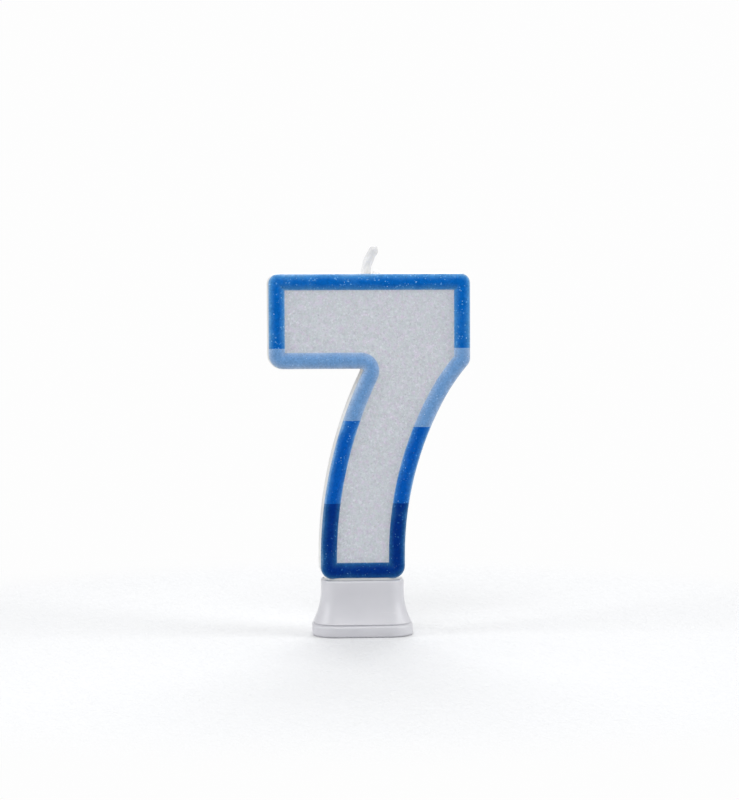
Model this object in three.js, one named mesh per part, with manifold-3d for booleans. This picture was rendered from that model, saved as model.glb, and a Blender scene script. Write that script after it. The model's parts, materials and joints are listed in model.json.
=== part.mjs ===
// A numeral cake candle shaped as a 7: a cast wax slab with a raised glitter border in four blues round a
// white glitter face, a cotton wick down its middle, and a plastic pick holder that its foot stands in.
// Millimetres. +Z is up, the face looks along -Y, and the origin is the middle of the holder's underside,
// which is the level of the icing that the holder is pushed into.
import * as THREE from "three";
import { mergeVertices } from "three/addons/utils/BufferGeometryUtils.js";
import Module from "manifold-3d";

const wasm = await Module();
wasm.setup();

// Numeral, seen from the front
const numeralHeight = 60; // foot to top edge
const armLeft = -18.3; // left end of the arm
const armRight = 21.3; // right side of the numeral
const armHeight = 18.6; // top edge to the underside of the arm
const footHalfWidth = 8.3; // half the width of the stem at the foot
const leftStemRadius = 86; // the stem's left edge is one arc
const leftStemStraight = 0.2; // and starts this far above the face's lower corner
const rightStemRadius = 64.5; // the stem's right edge starts with this arc
const rightStemStraight = 1.1; // this far above the face's lower corner
const rightStemTurn = THREE.MathUtils.degToRad(28); // sweeps this far
const shoulderRadius = 40; // then goes on with a tighter one up to the side
const shoulderFillet = 2.4;
const topFillet = 1.8;
const armFillet = 2.8;
const footLeftFillet = 2.2;
const footRightFillet = 2.5;
const sharpFillet = 0.25; // what is left of a fillet on an outline inset past it

// Numeral, front to back
const waxDepth = 7.2;
const wallDraft = 0.25; // the back of the slab is this much larger all round
const rimWidth = 3;
const rimDepth = 2;
const rimRound = 0.7; // rounding of the border's front edges
const faceDepth = 1;
const bondGap = 0.15; // between the face and the border, and between two colours of the border
const skyAboveArm = 4; // sky blue starts this far above the underside of the arm
const midTopLeft = 31.2; // heights above the foot where the border turns to mid blue and to navy
const midTopRight = 29.9;
const navyTop = 14.9;

// Wick
const wickDiameter = 2;
const wickX = 1; // where it comes out of the top edge
const wickStand = 5.2; // height of its tip above the top edge
const wickLean = 2; // how far its tip leans to the right
const wickUpright = 0.42; // share of the free end's height that its lower curve handle goes straight up
const wickTurn = new THREE.Vector2(0.5, 0.75); // its upper handle, as shares of the lean and the height
const wickGap = 0.25; // all round the wick in its channel, and between its two lengths
const wickEndRise = 6; // its lower end's height above the foot
const craterRadius = 1.9; // melt pool round the wick
const craterDepth = 1.6;
const wickPivotDepth = 0.3; // where the free end bends, under the top edge

// Foot in the holder
const tenonWidth = 12.4;
const tenonDepth = 5;
const tenonLength = 7;
const tenonFillet = 1.4;
const socketGap = 0.3; // all round the tenon and under it
const seatGap = 0.1; // between the back of the numeral's foot, which hangs lowest, and the holder's lip

// Holder
const holderHeight = 11;
const lipWidth = 16.3;
const lipDepth = 9.6;
const lipFillet = 3.4; // corner radius of the cup, seen from above
const lipEdge = 0.4; // chamfer round the lip
const flareRadius = 14.4; // hollow curve of the cup down to the flange
const flareHeight = 6.4;
const flangeStep = 0.3; // the flange stands this far out of the foot of the flare
const flangeHeight = 2.3;
const flangeEdge = 0.5;
const spikeLength = 30;
const spikeWidth = 7;
const spikeDepth = 4.6;
const spikeTip = 1.2;
const spikeBlade = 1.5; // thickness of each blade

const arcSteps = 5;
const roundSteps = 28; // round a full turn of the holder
const wickSides = 10;

const foot = holderHeight + seatGap + wallDraft;
const top = foot + numeralHeight;
const armUnder = top - armHeight;
const skyTop = numeralHeight - armHeight + skyAboveArm;
const front = -(waxDepth + rimDepth) / 2; // front of the border
const waxFront = front + rimDepth;
const waxBack = waxFront + waxDepth;
const wickY = (waxFront + waxBack) / 2;
const wickRadius = wickDiameter / 2;
const pivot = new THREE.Vector3(wickX, wickY, top - wickPivotDepth);

const faceCorner = foot + rimWidth + bondGap + sharpFillet;
const leftStemCentre = new THREE.Vector2(
  leftStemRadius - footHalfWidth,
  faceCorner + leftStemStraight,
);
const rightStemCentre = new THREE.Vector2(
  rightStemRadius + footHalfWidth,
  faceCorner + rightStemStraight,
);
const shoulderCentre = rightStemCentre.clone().add(
  new THREE.Vector2(-Math.cos(rightStemTurn), Math.sin(rightStemTurn)).multiplyScalar(
    rightStemRadius - shoulderRadius,
  ),
);
const innerCorner = new THREE.Vector2(arcEdge(leftStemCentre, leftStemRadius, armUnder), armUnder);

// ---- Solids and cuts

function toSolid(geometry) {
  const plain = geometry.clone();
  plain.deleteAttribute("normal");
  plain.deleteAttribute("uv");
  const merged = mergeVertices(plain, 1e-4);
  return new wasm.Manifold(
    new wasm.Mesh({
      numProp: 3,
      vertProperties: merged.getAttribute("position").array,
      triVerts: new Uint32Array(merged.index.array),
    }),
  );
}

function toGeometry(solid) {
  const mesh = solid.getMesh();
  const geometry = new THREE.BufferGeometry();
  geometry.setAttribute("position", new THREE.BufferAttribute(mesh.vertProperties, 3));
  geometry.setIndex(new THREE.BufferAttribute(mesh.triVerts, 1));
  geometry.computeVertexNormals();
  return geometry;
}

// A box between two corners.
function block(low, high) {
  const size = high.clone().sub(low);
  const middle = high.clone().add(low).multiplyScalar(0.5);
  return new THREE.BoxGeometry(size.x, size.y, size.z).translate(middle.x, middle.y, middle.z);
}

// ---- Outlines

// Points along a path, without the doubled ones where one arc runs on into the next.
function pointsOf(path) {
  const points = path.getPoints(arcSteps);
  return points.filter((point, i) => point.distanceTo(points.at(i - 1)) > 1e-3);
}

// The numeral's outline, drawn anticlockwise in X and Z, with every edge moved inwards by inset.
function numeralPoints(inset) {
  const path = new THREE.Path();
  const fillet = (radius) => Math.max(radius - inset, sharpFillet);
  const left = armLeft + inset;
  const right = armRight - inset;
  const high = top - inset;
  const under = armUnder + inset;
  const low = foot + inset;
  const stemLeft = inset - footHalfWidth;
  const stemRight = footHalfWidth - inset;
  const quarter = Math.PI / 2;

  const footLeft = fillet(footLeftFillet);
  const footRight = fillet(footRightFillet);
  path.absarc(stemLeft + footLeft, low + footLeft, footLeft, Math.PI, 3 * quarter, false);
  path.absarc(stemRight - footRight, low + footRight, footRight, 3 * quarter, 4 * quarter, false);

  const lowerRadius = rightStemRadius + inset;
  const lowerEnd = Math.PI - rightStemTurn;
  path.absarc(rightStemCentre.x, rightStemCentre.y, lowerRadius, Math.PI, lowerEnd, true);

  const upperRadius = shoulderRadius + inset;
  const shoulder = fillet(shoulderFillet);
  const aside = right - shoulder - shoulderCentre.x;
  const up = Math.sqrt((upperRadius + shoulder) ** 2 - aside ** 2);
  const upperEnd = Math.atan2(up, aside);
  path.absarc(shoulderCentre.x, shoulderCentre.y, upperRadius, lowerEnd, upperEnd, true);
  path.absarc(right - shoulder, shoulderCentre.y + up, shoulder, upperEnd - Math.PI, 0, false);

  const topCorner = fillet(topFillet);
  path.absarc(right - topCorner, high - topCorner, topCorner, 0, quarter, false);
  path.absarc(left + topCorner, high - topCorner, topCorner, quarter, 2 * quarter, false);
  const armCorner = fillet(armFillet);
  path.absarc(left + armCorner, under + armCorner, armCorner, Math.PI, 3 * quarter, false);

  const towardsCentre = leftStemCentre.clone().sub(innerCorner).angle() - 2 * Math.PI;
  if (inset > 0) path.absarc(innerCorner.x, innerCorner.y, inset, quarter, towardsCentre, true);
  const stemRadius = leftStemRadius - inset;
  path.absarc(leftStemCentre.x, leftStemCentre.y, stemRadius, towardsCentre + Math.PI, Math.PI, false);
  return pointsOf(path);
}

// X of the left-hand side of a circle at a height, or of its middle above its top.
function arcEdge(centre, radius, height) {
  return centre.x - Math.sqrt(Math.max(0, radius ** 2 - (height - centre.y) ** 2));
}

// X of the middle of the stem at a height.
function stemMiddle(height) {
  const leftEdge = arcEdge(leftStemCentre, leftStemRadius, height);
  const lowerEdge = arcEdge(rightStemCentre, rightStemRadius, height);
  const upperEdge = arcEdge(shoulderCentre, shoulderRadius, height);
  const turned = height > rightStemCentre.y + rightStemRadius * Math.sin(rightStemTurn);
  return (leftEdge + Math.min(turned ? upperEdge : lowerEdge, armRight)) / 2;
}

// An extrusion of a shape drawn in X and Z, from the front plane y towards the back.
function extrudeBack(shape, y, depth, bevel = {}) {
  const geometry = new THREE.ExtrudeGeometry(shape, { depth, bevelEnabled: false, ...bevel });
  return geometry.rotateX(Math.PI / 2).translate(0, y + depth, 0);
}

// ---- Numeral

// Cast slab with drafted walls: the outline at its front plane, wallDraft larger at its back.
function waxSlab() {
  const slab = extrudeBack(new THREE.Shape(numeralPoints(0)), waxBack, 1, {
    bevelEnabled: true,
    bevelThickness: waxDepth,
    bevelSize: wallDraft,
    bevelSegments: 1,
  });
  const keep = block(
    new THREE.Vector3(2 * armLeft, waxFront, 0),
    new THREE.Vector3(2 * armRight, waxBack, 2 * top),
  );
  return toSolid(slab).intersect(toSolid(keep));
}

// Plug under the foot that stands in the holder's socket.
function tenon() {
  const reach = 1; // runs up into the slab
  const half = new THREE.Vector2(tenonWidth, tenonDepth).multiplyScalar(0.5);
  const shape = roundedRectangle(half, tenonFillet);
  const geometry = new THREE.ExtrudeGeometry(shape, { depth: tenonLength + reach, bevelEnabled: false });
  return toSolid(geometry.translate(0, 0, foot - tenonLength));
}

function roundedRectangle(half, radius) {
  const path = new THREE.Path();
  const x = half.x - radius;
  const y = half.y - radius;
  const quarter = Math.PI / 2;
  path.absarc(x, y, radius, 0, quarter, false);
  path.absarc(-x, y, radius, quarter, 2 * quarter, false);
  path.absarc(-x, -y, radius, 2 * quarter, 3 * quarter, false);
  path.absarc(x, -y, radius, 3 * quarter, 4 * quarter, false);
  return new THREE.Shape(pointsOf(path));
}

// Melt pool round the wick: a shallow cone down to the wick's channel.
function crater() {
  const above = 1;
  const slope = (craterRadius - wickRadius - wickGap) / craterDepth;
  const geometry = new THREE.CylinderGeometry(
    craterRadius + slope * above,
    wickRadius + wickGap,
    craterDepth + above,
    2 * wickSides,
  );
  geometry.rotateX(Math.PI / 2);
  return toSolid(geometry.translate(wickX, wickY, top + (above - craterDepth) / 2));
}

function waxBody() {
  const channel = toSolid(wickTube(wickRadius + wickGap, wickGap));
  return toGeometry(waxSlab().add(tenon()).subtract(channel).subtract(crater()));
}

// The whole border as one ring, rounded in front, before it is cut into its colours.
function rimRing() {
  const shape = new THREE.Shape(numeralPoints(0));
  shape.holes.push(new THREE.Path(numeralPoints(rimWidth)));
  const behind = 2 * rimRound; // the rounding of the back edges lies in here, and is cut off
  const ring = extrudeBack(shape, front + rimRound, rimDepth - rimRound + behind, {
    bevelEnabled: true,
    bevelThickness: rimRound,
    bevelSize: rimRound,
    bevelOffset: -rimRound,
    bevelSegments: 2,
  });
  return toSolid(ring);
}

// Between two heights above the foot, right across the numeral.
function across(low, high) {
  const beyond = 1; // past the numeral's own edges
  return block(
    new THREE.Vector3(armLeft - beyond, front - beyond, foot + low),
    new THREE.Vector3(armRight + beyond, waxFront, foot + high),
  );
}

// Between two heights above the foot, on one side of the stem's middle: -1 is left, 1 is right.
function beside(side, low, high) {
  const steps = 8;
  const far = side * (armRight - armLeft);
  const shape = new THREE.Shape();
  shape.moveTo(far, foot + low);
  for (let step = 0; step <= steps; step += 1) {
    const height = foot + low + ((high - low) * step) / steps;
    shape.lineTo(stemMiddle(height), height);
  }
  shape.lineTo(far, foot + high);
  shape.closePath();
  return extrudeBack(shape, front - 1, rimDepth + 1);
}

// The border's colours, each cut out of the ring, a bond gap apart.
function rimBands() {
  const ring = rimRing();
  const half = bondGap / 2;
  const cuts = {
    rim_top_blue: across(skyTop + half, numeralHeight + 1),
    rim_sky_left: beside(-1, midTopLeft + half, skyTop - half),
    rim_sky_right: beside(1, midTopRight + half, skyTop - half),
    rim_mid_left: beside(-1, navyTop + half, midTopLeft - half),
    rim_mid_right: beside(1, navyTop + half, midTopRight - half),
    rim_navy_foot: across(-1, navyTop - half),
  };
  const bands = {};
  for (const [name, cut] of Object.entries(cuts)) {
    bands[name] = toGeometry(ring.intersect(toSolid(cut)));
  }
  return bands;
}

function glitterFace() {
  const shape = new THREE.Shape(numeralPoints(rimWidth + bondGap));
  return extrudeBack(shape, waxFront - faceDepth, faceDepth);
}

// ---- Wick

function circle(radius) {
  const shape = new THREE.Shape();
  for (let side = 0; side < wickSides; side += 1) {
    const angle = (2 * Math.PI * side) / wickSides;
    const point = [radius * Math.cos(angle), radius * Math.sin(angle)];
    if (side) shape.lineTo(...point);
    else shape.moveTo(...point);
  }
  shape.closePath();
  return shape;
}

// The wick's run inside the wax, out of the crater and down the middle of the stem. longer lengthens
// both its ends.
function wickTube(radius, longer) {
  const start = pivot.z - wickRadius - wickGap;
  const end = foot + wickEndRise;
  const straight = 3; // runs straight down first
  const turned = armUnder - 4; // has reached the middle of the stem
  const points = [
    new THREE.Vector3(wickX, wickY, start + longer),
    new THREE.Vector3(wickX, wickY, start - straight),
    new THREE.Vector3(stemMiddle(turned), wickY, turned),
    new THREE.Vector3(stemMiddle((turned + end) / 2), wickY, (turned + end) / 2),
    new THREE.Vector3(stemMiddle(end), wickY, end - longer),
  ];
  return new THREE.ExtrudeGeometry(circle(radius), {
    steps: 26,
    bevelEnabled: false,
    extrudePath: new THREE.CatmullRomCurve3(points, false, "centripetal"),
  });
}

// The free end: a ball at the bend, and a length that leans over to the right.
function wickTip() {
  const rise = wickStand + wickPivotDepth;
  const path = new THREE.CubicBezierCurve3(
    pivot,
    new THREE.Vector3(pivot.x, pivot.y, pivot.z + rise * wickUpright),
    new THREE.Vector3(pivot.x + wickLean * wickTurn.x, pivot.y, pivot.z + rise * wickTurn.y),
    new THREE.Vector3(pivot.x + wickLean, pivot.y, pivot.z + rise),
  );
  const length = new THREE.ExtrudeGeometry(circle(wickRadius), {
    steps: 8,
    bevelEnabled: false,
    extrudePath: path,
  });
  const ball = new THREE.SphereGeometry(wickRadius, wickSides, wickSides);
  return toGeometry(toSolid(length).add(toSolid(ball.translate(pivot.x, pivot.y, pivot.z))));
}

// ---- Holder

// A profile turned round Z and then pulled apart into a rounded rectangle, by half in X and in Y.
function turnedOblong(profile, half) {
  const step = (2 * Math.PI) / roundSteps;
  const geometry = new THREE.LatheGeometry(profile, roundSteps, step / 2);
  geometry.rotateX(Math.PI / 2);
  const position = geometry.getAttribute("position");
  for (let i = 0; i < position.count; i += 1) {
    const x = position.getX(i);
    const y = position.getY(i);
    const onAxis = Math.hypot(x, y) < 1e-6;
    position.setX(i, onAxis ? 0 : x + Math.sign(x) * half.x);
    position.setY(i, onAxis ? 0 : y + Math.sign(y) * half.y);
  }
  return geometry;
}

// The cup and flange, solid.
function holderShell() {
  const half = new THREE.Vector2(lipWidth / 2 - lipFillet, lipDepth / 2 - lipFillet);
  const profile = new THREE.Path();
  const flareSweep = Math.asin(flareHeight / flareRadius);
  const flareFoot = lipFillet + flareRadius * (1 - Math.cos(flareSweep));
  const flange = flareFoot + flangeStep;
  profile.moveTo(0, 0);
  profile.lineTo(flange - flangeEdge, 0);
  profile.absarc(flange - flangeEdge, flangeEdge, flangeEdge, -Math.PI / 2, 0, false);
  profile.absarc(flange - flangeEdge, flangeHeight - flangeEdge, flangeEdge, 0, Math.PI / 2, false);
  profile.absarc(
    lipFillet + flareRadius,
    flangeHeight + flareHeight,
    flareRadius,
    Math.PI + flareSweep,
    Math.PI,
    true,
  );
  profile.lineTo(lipFillet, holderHeight - lipEdge);
  profile.lineTo(lipFillet - lipEdge, holderHeight);
  profile.lineTo(0, holderHeight);
  return toSolid(turnedOblong(pointsOf(profile), half));
}

function socket() {
  const half = new THREE.Vector2(tenonWidth / 2 + socketGap, tenonDepth / 2 + socketGap);
  const shape = roundedRectangle(half, tenonFillet + socketGap);
  const geometry = new THREE.ExtrudeGeometry(shape, { depth: holderHeight, bevelEnabled: false });
  return toSolid(geometry.translate(0, 0, foot - tenonLength - socketGap));
}

// One tapered blade of the spike, standing in X and Z.
function blade(width) {
  const rootHeight = flangeHeight / 2; // runs up into the flange
  const shape = new THREE.Shape();
  shape.moveTo(0, -spikeLength);
  shape.lineTo(spikeTip / 2, -spikeLength + spikeTip);
  shape.lineTo(width / 2, 0);
  shape.lineTo(width / 2, rootHeight);
  shape.lineTo(-width / 2, rootHeight);
  shape.lineTo(-width / 2, 0);
  shape.lineTo(-spikeTip / 2, -spikeLength + spikeTip);
  shape.closePath();
  return extrudeBack(shape, -spikeBlade / 2, spikeBlade);
}

function holder() {
  const wideBlade = toSolid(blade(spikeWidth));
  const deepBlade = toSolid(blade(spikeDepth).rotateZ(Math.PI / 2));
  return toGeometry(holderShell().subtract(socket()).add(wideBlade).add(deepBlade));
}

// ---- Assembly

const group = new THREE.Group();

function addPart(name, geometry, color, roughness) {
  const material = new THREE.MeshStandardMaterial({ color, roughness, metalness: 0 });
  const mesh = new THREE.Mesh(geometry, material);
  mesh.name = name;
  group.add(mesh);
}

addPart("holder", holder(), 0xe6e7ea, 0.4);
addPart("wax_body", waxBody(), 0xeceae4, 0.5);
addPart("glitter_face", glitterFace(), 0xc8cace, 0.6);
const rimColors = {
  rim_top_blue: 0x1764b4,
  rim_sky_left: 0x6f9dd0,
  rim_sky_right: 0x6f9dd0,
  rim_mid_left: 0x1a5cb0,
  rim_mid_right: 0x1a5cb0,
  rim_navy_foot: 0x08386f,
};
for (const [name, geometry] of Object.entries(rimBands())) {
  addPart(name, geometry, rimColors[name], 0.35);
}
addPart("wick_core", wickTube(wickRadius, 0), 0xe8e6df, 0.9);
addPart("wick_tip", wickTip(), 0xe8e6df, 0.9);

export default group;
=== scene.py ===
import json
import math
import random

import bmesh
import bpy
from mathutils import Matrix, Quaternion, Vector
from mathutils.geometry import interpolate_bezier


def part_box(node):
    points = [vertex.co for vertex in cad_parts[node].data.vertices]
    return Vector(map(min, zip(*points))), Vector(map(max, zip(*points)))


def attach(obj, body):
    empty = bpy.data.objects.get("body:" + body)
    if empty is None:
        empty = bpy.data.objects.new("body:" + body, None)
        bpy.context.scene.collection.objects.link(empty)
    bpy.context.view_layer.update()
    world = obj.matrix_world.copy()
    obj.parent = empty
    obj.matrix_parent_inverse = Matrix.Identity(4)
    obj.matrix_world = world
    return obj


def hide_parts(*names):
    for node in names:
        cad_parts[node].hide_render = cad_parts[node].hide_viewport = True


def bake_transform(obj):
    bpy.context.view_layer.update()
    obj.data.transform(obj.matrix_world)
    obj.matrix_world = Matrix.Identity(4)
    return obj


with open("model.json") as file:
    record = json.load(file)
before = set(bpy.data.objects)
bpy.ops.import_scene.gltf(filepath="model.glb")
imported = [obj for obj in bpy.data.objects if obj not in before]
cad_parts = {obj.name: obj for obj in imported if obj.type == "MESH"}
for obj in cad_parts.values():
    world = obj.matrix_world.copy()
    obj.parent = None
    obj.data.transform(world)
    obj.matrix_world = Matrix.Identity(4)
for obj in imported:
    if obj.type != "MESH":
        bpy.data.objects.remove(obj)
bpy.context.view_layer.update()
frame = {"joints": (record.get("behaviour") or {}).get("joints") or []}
scene = bpy.context.scene
mm = 0.001
quarter = math.pi / 2

rimLow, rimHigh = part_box("rim_top_blue")
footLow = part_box("rim_navy_foot")[0]
faceLow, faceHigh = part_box("glitter_face")
waxLow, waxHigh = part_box("wax_body")
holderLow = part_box("holder")[0]
wickHinge = next(joint for joint in frame["joints"] if joint["name"] == "wick_bend")
wickRoot = Vector(wickHinge["pos_m"])

# camera

view = {
    "lens": 100,
    "distance": 435.6 * mm,
    "azimuth": -3.0,  # degrees, from the left
    "elevation": 2.5,
    "roll": -0.25,
    "target": Vector((1.37 * mm, rimLow.y, 46.64 * mm)),
}


def placeCamera():
    turn, lift = math.radians(view["azimuth"]), math.radians(view["elevation"])
    back = Vector((math.sin(turn) * math.cos(lift), -math.cos(turn) * math.cos(lift), math.sin(lift)))
    data = bpy.data.cameras.new("camera")
    data.lens = view["lens"]
    data.sensor_width = 36
    data.clip_start, data.clip_end = 0.01, 20
    camera = bpy.data.objects.new("camera", data)
    scene.collection.objects.link(camera)
    camera.rotation_mode = "QUATERNION"
    camera.location = view["target"] + back * view["distance"]
    roll = Matrix.Rotation(math.radians(view["roll"]), 3, "Z").to_quaternion()
    camera.rotation_quaternion = (-back).to_track_quat("-Z", "Y") @ roll
    scene.camera = camera


placeCamera()
print("camera placed")

# shader helpers


def add(tree, kind, settings=None, wires=None):
    made = tree.nodes.new("ShaderNode" + kind)
    for name, value in (settings or {}).items():
        setattr(made, name, value)
    for name, value in (wires or {}).items():
        if isinstance(value, bpy.types.NodeSocket):
            tree.links.new(value, made.inputs[name])
        else:
            made.inputs[name].default_value = value
    return made


def maths(tree, operation, a, b=0.5):
    return add(tree, "Math", {"operation": operation}, {0: a, 1: b}).outputs[0]


def ramp(tree, fac, stops):
    made = add(tree, "ValToRGB", None, {0: fac})
    while len(made.color_ramp.elements) < len(stops):
        made.color_ramp.elements.new(0.5)
    for element, (place, colour) in zip(made.color_ramp.elements, stops):
        element.position = place
        element.color = (*colour, 1) if len(colour) == 3 else colour
    return made.outputs["Color"]


# a value that runs from 0 to 1, or from start to end, spread from low to high
def spread(tree, value, low, high, start=0.0, end=1.0):
    wires = {"Value": value, "From Min": start, "From Max": end, "To Min": low, "To Max": high}
    return add(tree, "MapRange", None, wires).outputs[0]


def vectors(tree, operation, wires):
    return add(tree, "VectorMath", {"operation": operation}, wires).outputs[0]


def blendColours(tree, fac, a, b, mode="MIX"):
    made = add(tree, "Mix", {"data_type": "RGBA", "blend_type": mode}, {0: fac})
    for index, colour in ((6, a), (7, b)):
        if isinstance(colour, bpy.types.NodeSocket):
            tree.links.new(colour, made.inputs[index])
        else:
            made.inputs[index].default_value = (*colour, 1)
    return made.outputs[2]


def newGroup(name, inputs, outputs):
    tree = bpy.data.node_groups.new(name, "ShaderNodeTree")
    for label, value in inputs.items():
        socket = tree.interface.new_socket(name=label, in_out="INPUT", socket_type="NodeSocketFloat")
        socket.default_value = value
    for label, kind in outputs.items():
        tree.interface.new_socket(name=label, in_out="OUTPUT", socket_type="NodeSocket" + kind)
    return tree, tree.nodes.new("NodeGroupInput"), tree.nodes.new("NodeGroupOutput")


def newMaterial(name):
    material = bpy.data.materials.new(name)
    material.use_nodes = True
    tree = material.node_tree
    return material, tree, tree.nodes["Principled BSDF"]


def useGroup(tree, group, **values):
    made = tree.nodes.new("ShaderNodeGroup")
    made.node_tree = group
    for name, value in values.items():
        made.inputs[name].default_value = value
    return made.outputs


def bump(tree, height, distance, strength=1.0, normal=None):
    wires = {"Height": height, "Distance": distance, "Strength": strength}
    if normal is not None:
        wires["Normal"] = normal
    return add(tree, "Bump", None, wires).outputs[0]


def letLightIn(surface, share, reach):
    surface.inputs["Subsurface Weight"].default_value = share
    surface.inputs["Subsurface Radius"].default_value = reach
    surface.inputs["Subsurface Scale"].default_value = 1.0


# flat flakes set in a clear binder: each cell is one flake, with its own tone and tilt
def makeFlakeField():
    tree, given, out = newGroup(
        "flakeField",
        {"scale": 3300.0, "tilt": 0.35, "share": 0.1},
        {"bright": "Float", "tone": "Float", "normal": "Vector"},
    )
    place = add(tree, "TexCoord").outputs["Object"]
    cells = add(tree, "TexVoronoi", {"feature": "F1"}, {"Vector": place, "Scale": given.outputs["scale"]})
    parts = add(tree, "SeparateColor", None, {0: cells.outputs["Color"]}).outputs
    bar = maths(tree, "SUBTRACT", 1.0, given.outputs["share"])
    tree.links.new(maths(tree, "GREATER_THAN", parts[0], bar), out.inputs["bright"])
    tree.links.new(parts[1], out.inputs["tone"])
    centred = vectors(tree, "SUBTRACT", {0: cells.outputs["Color"], 1: (0.5, 0.5, 0.5)})
    leaning = vectors(tree, "SCALE", {0: centred, 3: given.outputs["tilt"]})
    facing = add(tree, "NewGeometry").outputs["Normal"]
    summed = vectors(tree, "ADD", {0: facing, 1: leaning})
    tree.links.new(vectors(tree, "NORMALIZE", {0: summed}), out.inputs["normal"])
    return tree


# slow unevenness of something cast or moulded, and fine grain on top of it
def makeCastSurface():
    tree, given, out = newGroup(
        "castSurface",
        {"wave": 120.0, "grain": 2500.0, "grainShare": 0.25},
        {"height": "Float", "mottle": "Float"},
    )
    place = add(tree, "TexCoord").outputs["Object"]
    slow = add(tree, "TexNoise", None, {"Vector": place, "Scale": given.outputs["wave"], "Detail": 3.0})
    fine = add(tree, "TexNoise", None, {"Vector": place, "Scale": given.outputs["grain"], "Detail": 2.0})
    grain = maths(tree, "MULTIPLY", fine.outputs[0], given.outputs["grainShare"])
    tree.links.new(maths(tree, "ADD", slow.outputs[0], grain), out.inputs["height"])
    tree.links.new(slow.outputs[0], out.inputs["mottle"])
    return tree


rubbing = {
    "turn": (0.3, 0.5, 0.7),
    "stretch": (1, 14, 9),  # how thin the hairlines are drawn
    "start": 0.62,
    "full": 0.7,
    "patches": 90.0,
}


# hairline rubs and scuffs from handling, as a mask
def makeScuffs():
    tree, given, out = newGroup("scuffs", {"length": 60.0, "share": 0.08}, {"mask": "Float"})
    place = add(tree, "TexCoord").outputs["Object"]
    slant = add(
        tree, "Mapping", None, {"Vector": place, "Rotation": rubbing["turn"], "Scale": rubbing["stretch"]},
    ).outputs[0]
    lines = add(tree, "TexNoise", None, {"Vector": slant, "Scale": given.outputs["length"], "Detail": 4.0})
    patch = add(tree, "TexNoise", None, {"Vector": place, "Scale": rubbing["patches"], "Detail": 1.0})
    thin = spread(tree, lines.outputs[0], 0.0, 1.0, rubbing["start"], rubbing["full"])
    bar = maths(tree, "SUBTRACT", rubbing["start"], given.outputs["share"])
    where = maths(tree, "GREATER_THAN", patch.outputs[0], bar)
    tree.links.new(maths(tree, "MULTIPLY", thin, where), out.inputs["mask"])
    return tree


flakeField = makeFlakeField()
castSurface = makeCastSurface()
scuffs = makeScuffs()

# materials

mottleLow, mottleHigh = 0.3, 0.7  # between these lies most of castSurface's mottle

gels = {  # from its feather edge over white wax, kept pale partly as painted light, to where the gel lies thick, then its flecks
    "royalBlue": {
        "edge": (0.25, 0.42, 0.64), "thin": (0.050, 0.220, 0.51), "thick": (0.001, 0.112, 0.455),
        "fleck": (0.16, 0.42, 0.76), "bright": (0.42, 0.68, 0.94), "share": 0.03,
    },
    "skyBlue": {
        "edge": (0.42, 0.52, 0.66), "thin": (0.235, 0.36, 0.57), "thick": (0.135, 0.28, 0.525),
        "fleck": (0.30, 0.46, 0.70), "bright": (0.52, 0.66, 0.84), "share": 0.015,
    },
    "midBlue": {
        "edge": (0.27, 0.44, 0.65), "thin": (0.030, 0.160, 0.46), "thick": (0.001, 0.082, 0.40),
        "fleck": (0.08, 0.29, 0.64), "bright": (0.34, 0.60, 0.88), "share": 0.015,
    },
    "navy": {
        "edge": (0.14, 0.27, 0.43), "thin": (0.010, 0.078, 0.240), "thick": (0.000, 0.024, 0.182),
        "fleck": (0.03, 0.15, 0.38), "bright": (0.24, 0.46, 0.72), "share": 0.02,
    },
}
gelFinish = {
    "wander": 0.12,  # how far the depth of its colour wanders
    "tones": (0.88, 1.12),  # of the flakes inside it
    "fleckShare": 0.5,
    "gloss": (0.26, 0.46),
    "grain": 0.06 * mm,
    "specular": 0.03,
}


def gelMaterial(name, look):
    material, tree, surface = newMaterial(name)
    depth = add(tree, "Attribute", {"attribute_name": "gelDepthAndEdgeLight"}).outputs["Fac"]
    flakes = useGroup(tree, flakeField, scale=3600.0, tilt=0.4, share=look["share"])
    cast = useGroup(tree, castSurface, wave=300.0, grain=3000.0, grainShare=0.15)
    wander = gelFinish["wander"]
    uneven = spread(tree, cast["mottle"], -wander, wander, mottleLow, mottleHigh)
    lying = maths(tree, "ADD", depth, uneven)
    # the pale edge colours are partly thin gel over white wax and partly painted light: they lift the shade
    # where the bead meets the face and paint a sheen along its edges
    body = ramp(tree, lying, [(0.0, look["edge"]), (0.45, look["thin"]), (0.95, look["thick"])])
    varied = vectors(tree, "SCALE", {0: body, 3: spread(tree, flakes["tone"], *gelFinish["tones"])})
    flecks = maths(tree, "MULTIPLY", flakes["bright"], gelFinish["fleckShare"])
    tree.links.new(blendColours(tree, flecks, varied, look["fleck"]), surface.inputs["Base Color"])
    tree.links.new(spread(tree, flakes["tone"], *gelFinish["gloss"]), surface.inputs["Roughness"])
    normal = bump(tree, cast["height"], gelFinish["grain"], 0.6, flakes["normal"])
    tree.links.new(normal, surface.inputs["Normal"])
    surface.inputs["Specular IOR Level"].default_value = gelFinish["specular"]
    return material


faceFinish = {
    "pastels": [
        (0.0, (0.45, 0.46, 0.53)), (0.18, (0.57, 0.53, 0.60)), (0.38, (0.55, 0.56, 0.63)),
        (0.58, (0.53, 0.56, 0.59)), (0.78, (0.58, 0.56, 0.66)), (1.0, (0.63, 0.63, 0.70)),
    ],
    "fines": [(0.0, (0.49, 0.50, 0.56)), (0.5, (0.56, 0.575, 0.63)), (1.0, (0.62, 0.63, 0.69))],
    "fineShare": 0.5,
    "tints": [(0.5, (1.04, 0.975, 1.03)), (0.62, (1.0, 1.0, 1.0)), (0.74, (0.965, 1.02, 0.97))],
    "sparkle": (0.78, 0.80, 0.86),
    "sparkleShare": 0.28,
    "gloss": (0.3, 0.62),
    "grain": 0.1 * mm,
    "specular": 0.4,
}


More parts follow.
